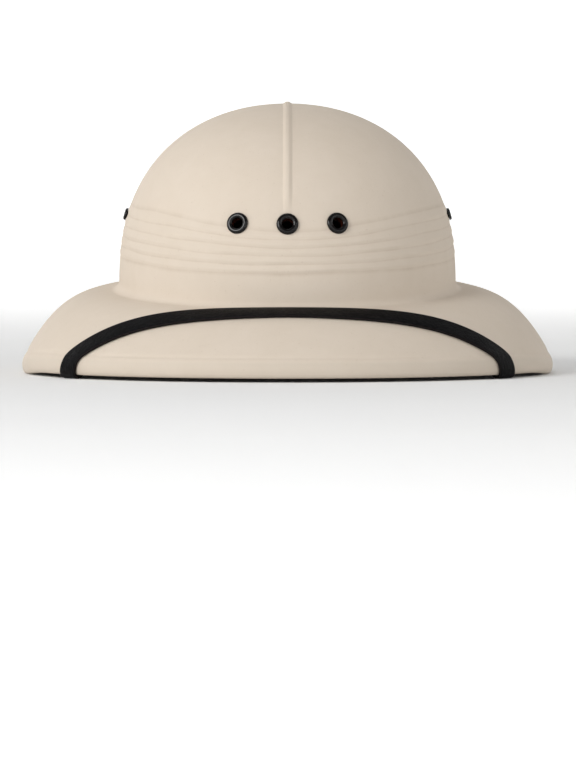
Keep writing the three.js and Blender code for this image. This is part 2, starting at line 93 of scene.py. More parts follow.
# %% Wrap a socket
class Wire:
    """An output socket of a material; arithmetic on it adds Math nodes."""

    def __init__(self, tree, socket):
        self.tree = tree
        self.socket = socket

    def node(self, kind, settings=None, sockets=None, output=0):
        made = self.tree.nodes.new(kind)
        for name, value in (settings or {}).items():
            setattr(made, name, value)
        for key, value in (sockets or {}).items():
            if isinstance(value, Wire):
                self.tree.links.new(value.socket, made.inputs[key])
            else:
                made.inputs[key].default_value = value
        return Wire(self.tree, made.outputs[output])

    def math(self, operation, first, second):
        return self.node("ShaderNodeMath", {"operation": operation}, {0: first, 1: second})

    def __add__(self, other):
        return self.math("ADD", self, other)

    def __radd__(self, other):
        return self.math("ADD", other, self)

    def __sub__(self, other):
        return self.math("SUBTRACT", self, other)

    def __rsub__(self, other):
        return self.math("SUBTRACT", other, self)

    def __mul__(self, other):
        return self.math("MULTIPLY", self, other)

    def __rmul__(self, other):
        return self.math("MULTIPLY", other, self)


print("socket class ready")


# %% Start and feed a finish
def srgb(red, green, blue):
    """A colour as a screen shows it, 0 to 255, as the linear values that shaders use."""
    channels = [value / 255 for value in (red, green, blue)]
    linear = [c / 12.92 if c <= 0.04045 else ((c + 0.055) / 1.055) ** 2.4 for c in channels]
    return (*linear, 1.0)


def start_finish(name, constants):
    """A new material with its constant values set, and its surface coordinates in millimetres."""
    material = bpy.data.materials.new(name)
    material.use_nodes = True
    tree = material.node_tree
    shader = tree.nodes["Principled BSDF"]
    for socket, value in constants.items():
        shader.inputs[socket].default_value = value
    metres = Wire(tree, tree.nodes.new("ShaderNodeTexCoord").outputs["Object"])
    scale = (1 / MM,) * 3
    place = metres.node("ShaderNodeVectorMath", {"operation": "MULTIPLY"}, {0: metres, 1: scale})
    return material, place


def feed(material, wires):
    """Links what varies over the surface to the shader."""
    shader = material.node_tree.nodes["Principled BSDF"]
    for socket, wire in wires.items():
        material.node_tree.links.new(wire.socket, shader.inputs[socket])


print("middle grey as a shader value:", round(srgb(128, 128, 128)[0], 3))

# %% Patterns, masks and mixes
MIX_SHARE, MIX_FIRST, MIX_SECOND, MIX_RESULT = 0, 6, 7, 2


def noise(place, size, detail=3.0, rough=0.55):
    """Soft noise from 0 to 1 whose blots are about that many millimetres in size."""
    sockets = {"Vector": place, "Scale": 1 / size, "Detail": detail, "Roughness": rough}
    return place.node("ShaderNodeTexNoise", {"noise_dimensions": "3D"}, sockets)


def cells(place, size):
    """Distance to the nearest of scattered points, for pores and pebbled grain."""
    return place.node("ShaderNodeTexVoronoi", None, {"Vector": place, "Scale": 1 / size})


def stretched(place, x=1.0, y=1.0, z=1.0):
    """The coordinates scaled along each axis, which draws noise out into streaks."""
    return place.node("ShaderNodeVectorMath", {"operation": "MULTIPLY"}, {0: place, 1: (x, y, z)})


def rising(value, low, high):
    """A soft step: 0 below low, 1 above high."""
    settings = {"interpolation_type": "SMOOTHSTEP"}
    sockets = {"Value": value, "From Min": low, "From Max": high}
    return value.node("ShaderNodeMapRange", settings, sockets)


def mixed(share, first, second):
    """One colour going over into another. A Mix node's colour sockets are reached by number."""
    sockets = {MIX_SHARE: share, MIX_FIRST: first, MIX_SECOND: second}
    return share.node("ShaderNodeMix", {"data_type": "RGBA"}, sockets, output=MIX_RESULT)


def layered(colour, layers):
    """Colours laid over each other, each one as strong as its mask."""
    for mask, over in layers:
        colour = mixed(mask, colour, over)
    return colour


def drawn(place, name):
    """A mask that was stored on the mesh when the piece was made."""
    return place.node("ShaderNodeAttribute", {"attribute_name": name}, output="Fac")


def bumped(height, depth, strength, under=None):
    """A normal from a height of 0 to 1, whose full step is that many millimetres deep."""
    sockets = {"Height": height, "Distance": depth * MM, "Strength": strength}
    if under:
        sockets["Normal"] = under
    return height.node("ShaderNodeBump", None, sockets)


print("shader helpers ready")

# %% [markdown]
# ## The stage
#
# The floor is one pale round sheet that curves up far away on all sides, as a studio's paper sweep
# does, so no horizon line crosses the picture from any side. Far from the helmet the sheet glows
# white, like a lit wall, and close to it the sheet is plain matt paper that takes soft shadows. The
# glow isn't sampled as a lamp, which would only add speckles. The main light stands on the left, low
# enough to draw out the folds, and two weak ones soften it.

# %% Make the paper sweep
SWEEP_INNER = 0.5
SWEEP_FLAT = 8.0
SWEEP_CURVE = 3.0
SWEEP_TOP = 7.0
SWEEP_AROUND = 96
SWEEP_FLAT_ROWS = 12
SWEEP_TURNS = 16
GLOW_FULL = 2.6
PAPER = {
    "shaded": srgb(240, 240, 240),
    "pale": srgb(244, 244, 243),
    "dark": srgb(0, 0, 0),
    "glowing": srgb(255, 255, 255),
}


def make_sweep():
    """A round sheet with a flat middle, as rings of points from the middle outwards."""
    profile = [(radius, 0.0) for radius in np.linspace(SWEEP_INNER, SWEEP_FLAT, SWEEP_FLAT_ROWS)[:-1]]
    for turn in np.linspace(0, math.pi / 2, SWEEP_TURNS):
        profile.append((SWEEP_FLAT + SWEEP_CURVE * math.sin(turn), SWEEP_CURVE * (1 - math.cos(turn))))
    profile.append((SWEEP_FLAT + SWEEP_CURVE, SWEEP_TOP))
    spin = np.arange(SWEEP_AROUND) * 2 * math.pi / SWEEP_AROUND
    points = [(0.0, 0.0, 0.0)]
    points += [(r * math.cos(a), r * math.sin(a), z) for r, z in profile for a in spin]
    faces = [(0, 1 + i, 1 + (i + 1) % SWEEP_AROUND) for i in range(SWEEP_AROUND)]
    for row in range(len(profile) - 1):
        for i in range(SWEEP_AROUND):
            j = (i + 1) % SWEEP_AROUND
            near, outer = 1 + row * SWEEP_AROUND, 1 + (row + 1) * SWEEP_AROUND
            faces.append((near + i, outer + i, outer + j, near + j))
    mesh = bpy.data.meshes.new("sweep")
    mesh.from_pydata(points, [], faces)
    mesh.shade_smooth()
    sweep = bpy.data.objects.new("sweep", mesh)
    bpy.context.scene.collection.objects.link(sweep)
    return sweep


sweep = make_sweep()
paper, paper_place = start_finish("sweep paper", {"Specular IOR Level": 0.1, "Emission Strength": 0.52})
paper_tone = noise(paper_place, size=400)
far = paper_place.node("ShaderNodeVectorMath", {"operation": "LENGTH"}, {0: paper_place}, output="Value")
glow = rising(far, 0.0, GLOW_FULL / MM)
feed(paper, {
    "Base Color": mixed(paper_tone, PAPER["shaded"], PAPER["pale"]),
    "Roughness": 0.85 + paper_tone * 0.1,
    "Emission Color": mixed(glow, PAPER["dark"], PAPER["glowing"]),
})
paper.cycles.emission_sampling = "NONE"
sweep.data.materials.append(paper)
print("sweep faces:", len(sweep.data.polygons))

# %% Hang the lights
LIGHTS = [
    {"name": "main_light", "place": (-2.1, -2.3, 1.5), "size": 1.4, "watts": 54.0},
    {"name": "fill_light", "place": (2.2, -2.4, 0.8), "size": 1.8, "watts": 0.6},
    {"name": "top_light", "place": (-0.5, 0.3, 2.4), "size": 1.7, "watts": 10.0},
]
LIGHT_AIM = Vector((0, 0, 0.08))
WORLD_STRENGTH = 0.22

for row in LIGHTS:
    lamp = bpy.data.lights.new(row["name"], "AREA")
    lamp.size = row["size"]
    lamp.energy = row["watts"]
    holder = bpy.data.objects.new(row["name"], lamp)
    holder.location = row["place"]
    holder.rotation_euler = (LIGHT_AIM - holder.location).to_track_quat("-Z", "Y").to_euler()
    bpy.context.scene.collection.objects.link(holder)

world = bpy.data.worlds.new("studio")
world.use_nodes = True
world.node_tree.nodes["Background"].inputs["Color"].default_value = (1.0, 1.0, 1.0, 1.0)
world.node_tree.nodes["Background"].inputs["Strength"].default_value = WORLD_STRENGTH
bpy.context.scene.world = world
bpy.context.scene.view_settings.view_transform = "Standard"
print("lights:", [row["name"] for row in LIGHTS])

# %% [markdown]
# ## The shell's form
#
# The shell is pressed in one piece, so one set of functions gives every point of it. The crown is
# a fuller oval that narrows like a dome and leans forward. The brim falls away from its base in a
# curve to the rim's shoulder. All functions take whole arrays of angles, with the front at -90
# degrees, so a fine mesh costs no more words than a coarse one.

# %% Helpers for points
FRONT = -math.pi / 2
SMALL_STEP = 1e-3


def stacked(x, y, z):
    """Three arrays as one array of points."""
    return np.stack(np.broadcast_arrays(x, y, z), -1).astype(float)


def unit(vectors):
    """The same directions with a length of 1."""
    return vectors / np.linalg.norm(vectors, axis=-1, keepdims=True)


def soft_step(value, low, high):
    """0 below low, 1 above high, and a soft rise between them."""
    share = np.clip((value - low) / (high - low), 0, 1)
    return share * share * (3 - 2 * share)


def oval(angle, half_width, half_length, roundness):
    """An oval whose corners are a little fuller than an ellipse's."""
    power = 2 / roundness
    c, s = np.cos(angle), np.sin(angle)
    x = half_width * np.sign(c) * np.abs(c) ** power
    return x, half_length * np.sign(s) * np.abs(s) ** power


def normal_of(surface, a, b):
    """A surface's normal, from two small steps along it."""
    along_a = surface(a + SMALL_STEP, b) - surface(a - SMALL_STEP, b)
    along_b = surface(a, b + SMALL_STEP) - surface(a, b - SMALL_STEP)
    return unit(np.cross(along_a, along_b))


def from_front(angle):
    """How far round from the middle of the front, to either side."""
    return np.abs(np.arctan2(np.sin(angle - FRONT), np.cos(angle - FRONT)))


print("front at an angle of", round(math.degrees(FRONT)), "degrees")

# %% Shape the crown
CROWN_HALF_WIDTH = 98.5 * MM
CROWN_HALF_LENGTH = 114 * MM
CROWN_ROUNDNESS = 2.05
CROWN_HEIGHT = 108 * MM
CROWN_BASE_HEIGHT = 49.5 * MM
CROWN_FORWARD = 14 * MM
CROWN_LEAN = math.radians(5.2)
DOME_SHOULDER = 2.5
DOME_FULLNESS = 2.1


def from_crown(x, y, up):
    """From the crown's own leaning frame to the helmet's."""
    lean_cos, lean_sin = math.cos(CROWN_LEAN), math.sin(CROWN_LEAN)
    forward = -CROWN_FORWARD + y * lean_cos - up * lean_sin
    return stacked(x, forward, CROWN_BASE_HEIGHT + y * lean_sin + up * lean_cos)


def dome_share(up, height):
    """How wide the dome is at a height, as a share of its base."""
    return (1 - np.clip(up / height, 0, 1) ** DOME_SHOULDER) ** (1 / DOME_FULLNESS)


def crown_point(angle, up, inset=0.0, swell=0.0):
    """The crown's face at a height, moved in by the inset or out by the swell."""
    share = dome_share(up, CROWN_HEIGHT - inset)
    grow = swell - inset
    x, y = oval(angle, CROWN_HALF_WIDTH + grow, CROWN_HALF_LENGTH + grow, CROWN_ROUNDNESS)
    return from_crown(x * share, y * share, up)


print("top of the crown, mm:", np.round(from_crown(0, 0, CROWN_HEIGHT) / MM, 1).tolist())

# %% Shape the rim and the brim
WALL = 2.4 * MM
shell_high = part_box("shell")[1]
RIM_HALF_WIDTH = shell_high.x
RIM_HALF_LENGTH = shell_high.y
RIM_ROUNDNESS = 2.12
RIM_SHOULDER = (-1.2 * MM, 10 * MM)
RIM_LIFT = 2.3 * MM
RIM_LIFT_POWER = 4
LIFT_FULL_ANGLE = math.radians(62)
LIFT_END_ANGLE = math.radians(84)
BRIM_CURVE_FRONT = 2.0
BRIM_CURVE_SIDE = 2.8
BRIM_SIDE_SHARPNESS = 8


def rim_point(angle, out, up):
    """A point so far out from the rim's oval and so high over the floor."""
    x, y = oval(angle, RIM_HALF_WIDTH + out, RIM_HALF_LENGTH + out, RIM_ROUNDNESS)
    return stacked(x, y, up)


def rim_lift(angle):
    """The strap passes under the front of the rim, which lifts it by that thickness and a gap."""
    return RIM_LIFT * (1 - soft_step(from_front(angle), LIFT_FULL_ANGLE, LIFT_END_ANGLE))


def brim_point(angle, place):
    """The brim's upper face, from the crown's base at 0 to the rim's shoulder at 1."""
    base = crown_point(angle, 0.0)
    edge = rim_point(angle, *RIM_SHOULDER)
    sideness = np.cos(angle) ** BRIM_SIDE_SHARPNESS
    curve = BRIM_CURVE_FRONT + (BRIM_CURVE_SIDE - BRIM_CURVE_FRONT) * sideness
    level = base + (edge - base) * np.asarray(place)[..., None]
    drop = (base[..., 2] - edge[..., 2]) * place ** curve
    lift = rim_lift(angle) * place ** RIM_LIFT_POWER
    return stacked(level[..., 0], level[..., 1], base[..., 2] - drop + lift)


def brim_inner(angle, place):
    """The brim's lower face, one wall below the upper one."""
    return brim_point(angle, place) + normal_of(brim_point, angle, place) * WALL


at_front = np.array([FRONT])
at_shoulder = np.array([1.0])
print("front of the brim, mm:", np.round(brim_point(at_front, at_shoulder)[0] / MM, 1).tolist())

# %% Round the corner between crown and brim
BASE_FILLET = 5 * MM


def fillet_point(angle, turn, inset=0.0):
    """The rounded corner from the leaning wall (turn 0) to the brim (turn 1)."""
    radius = BASE_FILLET + inset
    bend = turn * math.pi / 2
    out = BASE_FILLET - radius * np.cos(bend)
    up = BASE_FILLET - radius * np.sin(bend)
    x, y = oval(angle, CROWN_HALF_WIDTH + out, CROWN_HALF_LENGTH + out, CROWN_ROUNDNESS)
    on_wall = from_crown(x, y, up)
    level = brim_point(angle, np.ones_like(angle)) - brim_point(angle, np.zeros_like(angle))
    outward = unit(level * (1, 1, 0))
    lift = stacked(0 * angle, 0 * angle, up)
    on_brim = crown_point(angle, 0.0) + outward * np.asarray(out)[..., None] + lift
    return on_wall + (on_brim - on_wall) * np.asarray(turn)[..., None]


print("corner radius in mm:", round(BASE_FILLET / MM, 1))

# %% [markdown]
# ## From rings to a mesh
#
# Every piece made here is a skin through rings of points: rings round the crown for the shell, rings
# round the strap's section for the strap. One function joins neighbouring rings with quads, closes
# the two ends with fans or joins them, and stores masks beside the points, which the finishes read
# later. Two more give a piece its finish and draw a smooth line through a few points.


# %% Skin a piece through rings
def skin(name, rings, tips=None, loop=False, masks=None):
    """A closed mesh through rings of equal length, with a point at both ends or joined in a loop."""
    rows, around = rings.shape[:2]
    ids = np.arange(rows * around).reshape(rows, around)
    upper = ids if loop else ids[:-1]
    lower = np.roll(ids, -1, 0) if loop else ids[1:]
    quads = np.stack([upper, lower, np.roll(lower, -1, 1), np.roll(upper, -1, 1)], -1)
    points = rings.reshape(-1, 3)
    faces = quads.reshape(-1, 4).tolist()
    if tips is not None:
        points = np.concatenate([points, np.array(tips, float)])
        for tip, ring in ((rows * around, ids[0]), (rows * around + 1, ids[-1])):
            faces += [(tip, int(a), int(b)) for a, b in zip(ring, np.roll(ring, -1))]
    mesh = bpy.data.meshes.new(name)
    mesh.from_pydata(points.tolist(), [], faces)
    for mask, values in (masks or {}).items():
        filled = np.broadcast_to(values, (rows, around)).reshape(-1)
        if tips is not None:
            filled = np.append(filled, [filled[0], filled[-1]])
        layer = mesh.attributes.new(mask, "FLOAT", "POINT")
        layer.data.foreach_set("value", filled.astype(np.float32))
    work = bmesh.new()
    work.from_mesh(mesh)
    bmesh.ops.recalc_face_normals(work, faces=work.faces)
    work.to_mesh(mesh)
    work.free()
    mesh.shade_smooth()
    piece = bpy.data.objects.new(name, mesh)
    bpy.context.scene.collection.objects.link(piece)
    return piece


def settle(piece, node, material):
    """The piece takes its finish, stands for its solid and rides with it."""
    piece.data.materials.clear()
    piece.data.materials.append(material)
    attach(piece, "root")
    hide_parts(node)


print("mesh helpers ready")

# %% Draw a smooth line
LINE_STEPS = 24


def smooth_line(rows, count):
    """Points evenly along a smooth line through the rows."""
    rows = np.array(rows, float)
    padded = np.concatenate([2 * rows[:1] - rows[1:2], rows, 2 * rows[-1:] - rows[-2:-1]])
    t = np.linspace(0, 1, LINE_STEPS, endpoint=False)[:, None]
    spans = []
    for p0, p1, p2, p3 in zip(padded, padded[1:], padded[2:], padded[3:]):
        cubic = 2 * p1 + (p2 - p0) * t + (2 * p0 - 5 * p1 + 4 * p2 - p3) * t**2
        spans.append((cubic + (3 * p1 - p0 - 3 * p2 + p3) * t**3) / 2)
    line = np.concatenate([*spans, rows[-1:]])
    length = np.append(0, np.cumsum(np.linalg.norm(np.diff(line, axis=0), axis=1)))
    even = np.linspace(0, length[-1], count)
    return np.stack([np.interp(even, length, column) for column in line.T], -1)


print("smooth line steps to a span:", LINE_STEPS)

# %% [markdown]
# ## The folds and the shell's rings
#
# The moulded folds copy a cloth wound round the crown, laid closer at the front and spread at the
# sides. They are only a few tenths of a millimetre deep, and still they are real waves in the mesh,
# many rings to a fold. A bump could not break the outline and would stay flat in a low light.
# Pressing has softened them, and cloth is never quite level, so their lines wander and fade in
# places. The rings run from the top of the dome down to the rim, round its roll and back up inside.
# The roll is given as steps out from the rim's oval and up from the floor, in millimetres.

# %% Shape the folds
FOLD_COUNT = 5
FOLD_START = 20.3 * MM
FOLD_PITCH_FRONT = 4.65 * MM
FOLD_PITCH_SIDE = 6.05 * MM
FOLD_FAN_ANGLE = math.radians(60)
FOLD_DEPTH = 0.36 * MM
FOLD_EDGE = 0.36
FOLD_SHARPNESS = 0.4
FOLD_FADE = 14 * MM
FOLD_STRAY = [
    {"waves": 4, "shift": 0.9, "size": 0.26 * MM},
    {"waves": 9, "shift": 2.3, "size": 0.2 * MM},
    {"waves": 17, "shift": 4.1, "size": 0.09 * MM},
]
FOLD_FAINT = [
    {"waves": 3, "shift": 2.1, "size": 0.2},
    {"waves": 7, "shift": 1.0, "size": 0.22},
    {"waves": 13, "shift": 3.7, "size": 0.16},
]
DOME_TOP_TURN = 0.985


def waves(angle, layer, rows):
    """Slow waves round the crown that run differently for each fold."""
    return sum(row["size"] * np.sin(row["waves"] * angle + row["shift"] * layer) for row in rows)


def fold_pitch(angle):
    """Height of one fold, which grows from the front to the sides."""
    fan = soft_step(from_front(angle), 0, FOLD_FAN_ANGLE)
    return FOLD_PITCH_FRONT + (FOLD_PITCH_SIDE - FOLD_PITCH_FRONT) * fan


def fold_swell(angle, layer, within):
    """A fold stands out near its lower edge and slopes back to tuck in under the next one."""
    turn = min(within / FOLD_EDGE, (1 - within) / (1 - FOLD_EDGE)) * math.pi / 2
    section = FOLD_SHARPNESS * math.sin(turn) + (1 - FOLD_SHARPNESS) * math.sin(turn) ** 2
    return FOLD_DEPTH * section * (1 + waves(angle, layer, FOLD_FAINT))


def fold_ring(angle, turn):
    """A ring in the folds: whole turns lie between two folds."""
    layer = min(int(turn), FOLD_COUNT - 1)
    within = turn - layer
    below, above = waves(angle, layer, FOLD_STRAY), waves(angle, layer + 1, FOLD_STRAY)
    up = FOLD_START + turn * fold_pitch(angle) + below * (1 - within) + above * within
    return crown_point(angle, up, 0.0, fold_swell(angle, layer, within))


def dome_ring(angle, share):
    """A ring of the smooth dome, from near its top at 0 to the folds at 1."""
    fold_top = FOLD_START + FOLD_COUNT * fold_pitch(angle)
    low_turn = np.arcsin(fold_top / CROWN_HEIGHT) / (math.pi / 2)
    up = CROWN_HEIGHT * np.sin((DOME_TOP_TURN + (low_turn - DOME_TOP_TURN) * share) * math.pi / 2)
    near = 1 - soft_step(up, fold_top, fold_top + FOLD_FADE)
    return crown_point(angle, up + waves(angle, FOLD_COUNT, FOLD_STRAY) * near)


def band_ring(angle, up):
    """A ring of the smooth band below the folds."""
    near = soft_step(up, FOLD_START - FOLD_FADE, FOLD_START)
    return crown_point(angle, up + waves(angle, 0, FOLD_STRAY) * near)


print("folds:", FOLD_COUNT, "their height in front, mm:", round(FOLD_COUNT * FOLD_PITCH_FRONT / MM, 1))

# %% Press the groove above the rim
GROOVE_PLACE = 0.975
GROOVE_HALF = 0.02
GROOVE_DEPTH = 0.32 * MM


def grooved_brim(angle, place):
    """A shallow groove sets the rolled rim off from the brim."""
    down = normal_of(brim_point, angle, np.minimum(place, 1 - SMALL_STEP))
    depth = GROOVE_DEPTH * np.exp(-(((place - GROOVE_PLACE) / GROOVE_HALF) ** 2))
    return brim_point(angle, place) + down * depth[..., None]


print("groove depth in mm:", round(GROOVE_DEPTH / MM, 2))

# %% Start the list of rings
AROUND = 360
angles = 2 * math.pi * np.arange(AROUND) / AROUND
rings = []
bare_and_shade = []
creases = []
lips = []


def add_ring(points, inside=0.0, crease=0.0, lip=0.0):
    """One more ring, with its share of bare fibre and painted shade inside, and how far it is creased or
    part of the lip.
    """
    rings.append(points)
    bare_and_shade.append(inside)
    creases.append(crease)
    lips.append(lip)


print("points in a ring:", AROUND)

# %% Lay the outer rings
DOME_RINGS = 42
RINGS_PER_FOLD = 12
CREASE_WIDTH = 0.12
BAND_RINGS = 8
FILLET_RINGS = 8
BRIM_SPAN = (0.13, 0.93)
BRIM_RINGS = 30
SHOULDER_SPAN = (0.94, 1)
SHOULDER_RINGS = 13

for share in np.linspace(0, 1, DOME_RINGS, endpoint=False):
    add_ring(dome_ring(angles, share))
for step in reversed(range(FOLD_COUNT * RINGS_PER_FOLD + 1)):
    turn = step / RINGS_PER_FOLD
    tucked = 1 - float(soft_step(abs(turn - round(turn)), 0.0, CREASE_WIDTH))
    add_ring(fold_ring(angles, turn), crease=tucked)
for up in np.linspace(FOLD_START, BASE_FILLET, BAND_RINGS + 1)[1:-1]:
    add_ring(band_ring(angles, up))
for turn in np.linspace(0, 1, FILLET_RINGS):
    add_ring(fillet_point(angles, np.full(AROUND, turn)))
brim_places = [*np.linspace(*BRIM_SPAN, BRIM_RINGS), *np.linspace(*SHOULDER_SPAN, SHOULDER_RINGS)]
for place in brim_places:
    add_ring(grooved_brim(angles, np.full(AROUND, place)))
print("outer rings:", len(rings))

# %% Roll the rim
RIM_ROLL = [
    (-0.4, 8.0), (0.0, 5.2), (-0.3, 2.6), (-1.1, 0.8), (-2.2, 0.0), (-4.4, 0.0),
    (-5.6, 0.8), (-6.2, 2.6), (-5.9, 4.6), (-5.0, 6.4), (-4.4, 8.4),
]
ROLL_RINGS = 30

for out, up in smooth_line(RIM_ROLL, ROLL_RINGS) * MM:
    add_ring(rim_point(angles, out, up + rim_lift(angles)), lip=1.0)
print("rings with the rim:", len(rings))

# %% Lay the inner rings and skin the shell
INNER_BRIM_SPAN = (0.935, 0.14)
INNER_BRIM_RINGS = 26
INNER_DOME_START = 0.07
INNER_DOME_RINGS = 26
UNDERSIDE_SHADE_FADE = (0.1, 0.75)
SHADE_AND_BARE_AT_CORNER = 0.5
LINING_AT_WALL = 0.8

# Painted shade darkens the underside towards the crown; in the corner it goes over into the bare fibre.
for place in np.linspace(*INNER_BRIM_SPAN, INNER_BRIM_RINGS):
    shade_and_bare = SHADE_AND_BARE_AT_CORNER * (1 - float(soft_step(place, *UNDERSIDE_SHADE_FADE)))
    add_ring(brim_inner(angles, np.full(AROUND, place)), inside=shade_and_bare)
for turn in np.linspace(1, 0, FILLET_RINGS):
    shade_and_bare = LINING_AT_WALL + (SHADE_AND_BARE_AT_CORNER - LINING_AT_WALL) * turn
    add_ring(fillet_point(angles, np.full(AROUND, turn), WALL), inside=shade_and_bare)
for turn in np.linspace(INNER_DOME_START, DOME_TOP_TURN, INNER_DOME_RINGS):
    up = (CROWN_HEIGHT - WALL) * math.sin(turn * math.pi / 2)
    add_ring(crown_point(angles, up, WALL), inside=min(1.0, LINING_AT_WALL + turn))

shell_tips = [from_crown(0, 0, CROWN_HEIGHT), from_crown(0, 0, CROWN_HEIGHT - WALL)]
shell_masks = {
    "bare_and_shade": np.array(bare_and_shade)[:, None],
    "crease": np.array(creases)[:, None],
    "lip": np.array(lips)[:, None],
}
shell = skin("pressed_shell", np.array(rings), shell_tips, masks=shell_masks)
print("shell rings:", len(rings), "faces:", len(shell.data.polygons))

# %% [markdown]
# ## The centre ridge
#
# A low rounded ridge runs over the middle of the crown, from above the front eyelet to the same
# height at the back. Rings round the crown cross it at a slant near the top and would fray its
# edges. It is therefore a bar of its own that follows the dome, with its root inside the wall. Its
# edges run out level with the surface, so that no seam shows.

# %% Lay the ridge over the dome
RIDGE_START = 52.5 * MM
RIDGE_LOW = 54 * MM
RIDGE_FULL = 66 * MM
RIDGE_RISE = 1.15 * MM
RIDGE_LOW_RISE = 0.28 * MM
RIDGE_TOP_HALF = 0.5 * MM
RIDGE_FOOT_HALF = 3.0 * MM
RIDGE_STEPS = 130
RIDGE_COLUMNS = 21
RIDGE_SLOPE_STEP = 0.05 * MM
RIDGE_SINK = 0.03 * MM
RIDGE_ROOT = 1.2 * MM


def dome_height(x, y):
    """Height of the dome over a point of the crown's base."""
    q = CROWN_ROUNDNESS
    share = (np.abs(x / CROWN_HALF_WIDTH) ** q + np.abs(y / CROWN_HALF_LENGTH) ** q) ** (1 / q)
    return CROWN_HEIGHT * (1 - np.clip(share, 0, 1) ** DOME_FULLNESS) ** (1 / DOME_SHOULDER)


def make_ridge():
    """A closed bar over the dome, laid out as rows along it and columns across."""
    reach = math.asin(RIDGE_START / CROWN_HEIGHT)
    turn = np.linspace(reach, math.pi - reach, RIDGE_STEPS)
    half_length = dome_share(CROWN_HEIGHT * np.sin(turn), CROWN_HEIGHT) * CROWN_HALF_LENGTH
    along = np.sign(turn - math.pi / 2) * half_length
    x, y = np.meshgrid(np.linspace(-RIDGE_FOOT_HALF, RIDGE_FOOT_HALF, RIDGE_COLUMNS), along)
    step = RIDGE_SLOPE_STEP
    slope_x = (dome_height(x + step, y) - dome_height(x - step, y)) / (2 * step)
    slope_y = (dome_height(x, y + step) - dome_height(x, y - step)) / (2 * step)
    normal = unit(stacked(-slope_x, -slope_y, 1.0))
    up = CROWN_HEIGHT * np.sin(turn)[:, None]
    crest = RIDGE_LOW_RISE * soft_step(up, RIDGE_START, RIDGE_LOW)
    crest = crest + (RIDGE_RISE - RIDGE_LOW_RISE) * soft_step(up, RIDGE_LOW, RIDGE_FULL)
    rise = crest * (1 - soft_step(np.abs(x), RIDGE_TOP_HALF, RIDGE_FOOT_HALF)) - RIDGE_SINK
    top = stacked(x, y, dome_height(x, y)) + normal * rise[..., None]
    root = top - normal * RIDGE_ROOT
    section = np.concatenate([root[:, :1], top, root[:, -1:]], 1)
    bar = from_crown(section[..., 0], section[..., 1], section[..., 2])
    return skin("ridge", bar, bar[[0, -1]].mean(1))


ridge = make_ridge()
print("ridge faces:", len(ridge.data.polygons))

# %% [markdown]
# ## The eyelets' holes
#
# Each eyelet sits in a real hole, so that light falls through it into the crown. The holes are cut
# with a Boolean modifier that is applied at once. The cutters stand square to the wall, at the
# places that the solid eyelets have. Cutting makes new points whose masks are wrong, so the ones
# inside the crown are marked as lined afterwards. An eyelet's sizes are in millimetres.

# %% Find the eyelets
ANGLE_STEPS = 7201
FRONT_EYELET = {"up": 47.5, "seat": 0.35, "flange": 6.2, "hole": 2.9, "barrel": 3.7, "rise": 1.6}
SIDE_EYELET = {"up": 44.0, "seat": 0.5, "flange": 3.6, "hole": 1.5, "barrel": 2.3, "rise": 1.5}
VENTS = [
    {"node": "vent_front_left", "size": FRONT_EYELET},
    {"node": "vent_front_centre", "size": FRONT_EYELET},
    {"node": "vent_front_right", "size": FRONT_EYELET},
    {"node": "vent_side_left", "size": SIDE_EYELET},
    {"node": "vent_side_right", "size": SIDE_EYELET},
]


def crown_wall(angle, height):
    """The crown's outer face, with the height as a share of the crown's."""
    return crown_point(angle, height * CROWN_HEIGHT)


def vent_place(vent):
    """A frame on the crown's wall at a solid eyelet, with Z along the wall's normal."""
    low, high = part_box(vent["node"])
    height = vent["size"]["up"] * MM / CROWN_HEIGHT
    around = np.linspace(0, 2 * math.pi, ANGLE_STEPS)
    ring = crown_wall(around, np.full(ANGLE_STEPS, height))
    nearest = np.argmin(np.linalg.norm(ring - np.array((low + high) / 2), axis=1))
    place = Vector(ring[nearest])
    normal = Vector(normal_of(crown_wall, around[[nearest]], np.array([height]))[0])
    if normal.dot(place - Vector(from_crown(0, 0, height * CROWN_HEIGHT))) < 0:
        normal = -normal
    turn = normal.to_track_quat("Z", "Y").to_matrix().to_4x4()
    return Matrix.Translation(place) @ turn


print("eyelet heights in mm:", [round(vent_place(vent).translation.z / MM, 1) for vent in VENTS])

# %% Drill the wall
PIECE_GAP = 0.3 * MM
VENT_SIDES = 48
DRILL_LENGTH = 20 * MM


def cut_holes(piece):
    """A cylinder through the wall at each eyelet is taken out of the piece."""
    work = bmesh.new()
    for vent in VENTS:
        radius = vent["size"]["barrel"] * MM + PIECE_GAP
        bmesh.ops.create_cone(
            work, cap_ends=True, segments=VENT_SIDES, radius1=radius, radius2=radius,
            depth=DRILL_LENGTH, matrix=vent_place(vent),
        )
    mesh = bpy.data.meshes.new("drill")
    work.to_mesh(mesh)
    work.free()
    drill = bpy.data.objects.new("drill", mesh)
    bpy.context.scene.collection.objects.link(drill)
    cut = piece.modifiers.new("holes", "BOOLEAN")
    cut.operation = "DIFFERENCE"
    cut.solver = "EXACT"
    cut.object = drill
    bpy.context.view_layer.objects.active = piece
    bpy.ops.object.modifier_apply(modifier=cut.name)
    bpy.data.objects.remove(drill)


def line_holes(piece):
    """The holes' inner edges get the dark bare fibre of the crown's inside round them."""
    points = np.empty((len(piece.data.vertices), 3), np.float32)
    piece.data.vertices.foreach_get("co", points.reshape(-1))
    dark = np.empty(len(points), np.float32)
    layer = piece.data.attributes["bare_and_shade"]
    layer.data.foreach_get("value", dark)
    for vent in VENTS:
        to_vent = np.array(vent_place(vent).inverted())
        x, y, z = (points @ to_vent[:3, :3].T + to_vent[:3, 3]).T
        near = np.hypot(x, y) < vent["size"]["barrel"] * MM + 2 * PIECE_GAP
        inner = (z < -WALL / 2) & (z > -DRILL_LENGTH / 2)
        dark[near & inner] = 1.0
    layer.data.foreach_set("value", dark)


cut_holes(shell)
line_holes(shell)
with bpy.context.temp_override(active_object=shell, selected_editable_objects=[shell, ridge]):
    bpy.ops.object.join()
print("shell faces with holes and ridge:", len(shell.data.polygons))
